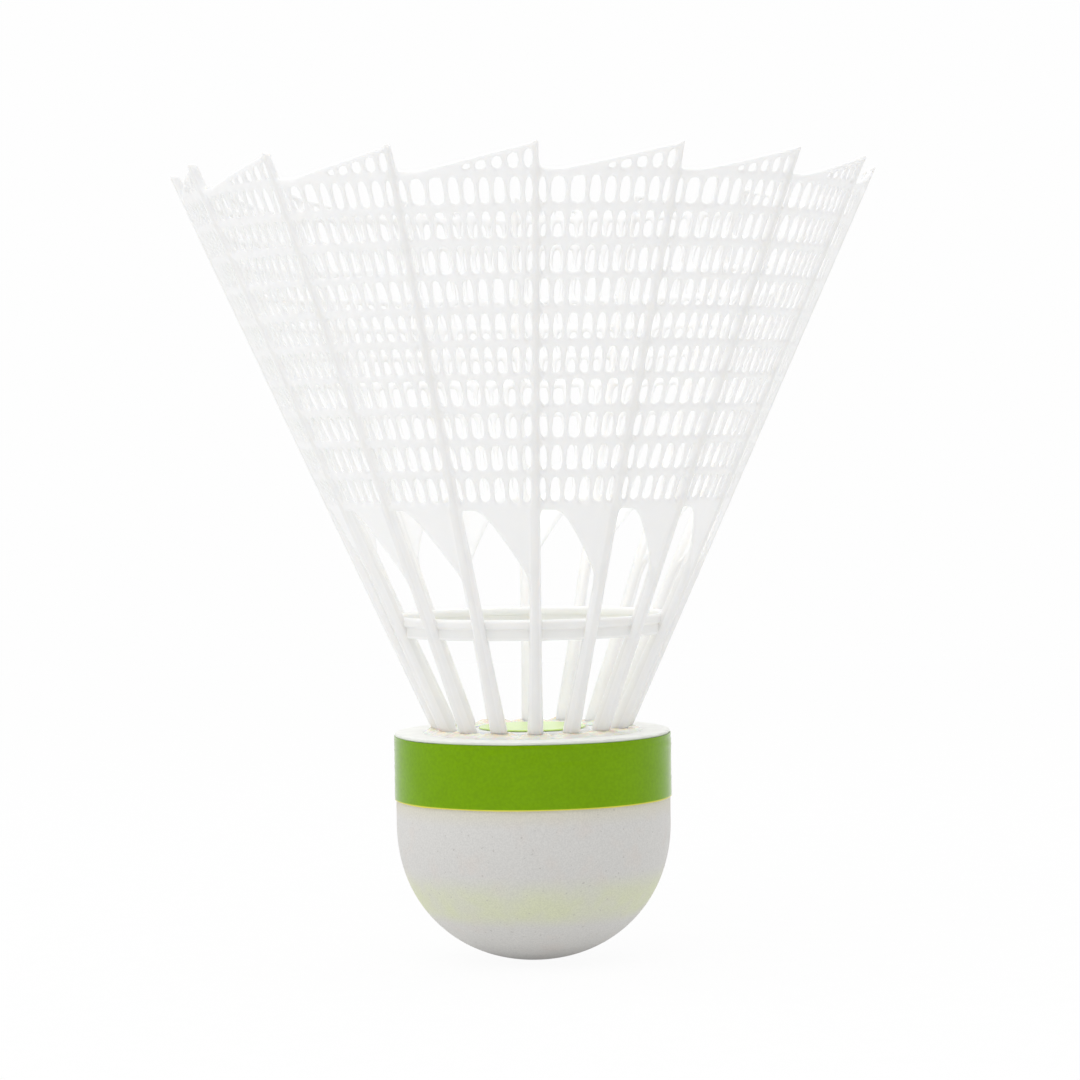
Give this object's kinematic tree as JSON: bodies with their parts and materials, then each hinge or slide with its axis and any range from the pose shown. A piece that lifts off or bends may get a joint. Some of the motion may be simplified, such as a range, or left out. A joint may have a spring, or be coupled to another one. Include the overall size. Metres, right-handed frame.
{
  "type": "badminton shuttlecock",
  "caption": "Moulded nylon badminton shuttlecock: a conical net skirt with a sawtooth rim on stems, glued into a round cork base with a green band.",
  "frame": {"origin": "the nose of the base, its lowest point, on the axis of the shuttlecock", "axes": "+Z runs along the axis from the nose to the open mouth of the skirt; -Y points to the stem at angle zero"},
  "size_m": [0.0686, 0.0686, 0.0766],
  "materials": {
    "cork": "matt, fine-grained natural cork",
    "cover": "matt white synthetic leather with a fine grain",
    "facing": "matt white",
    "band": "smooth green tape with a soft sheen",
    "nylon": "white moulded nylon, slightly translucent, satin",
    "adhesive": "dried amber glue",
    "label": "plain bright green disc"
  },
  "bodies": {
    "root": {"base_core": "cork", "base_cover": "cover", "top_facing": "facing", "colour_band": "band", "skirt": "nylon", "adhesive": "adhesive", "centre_label": "label"}
  },
  "joints": []
}
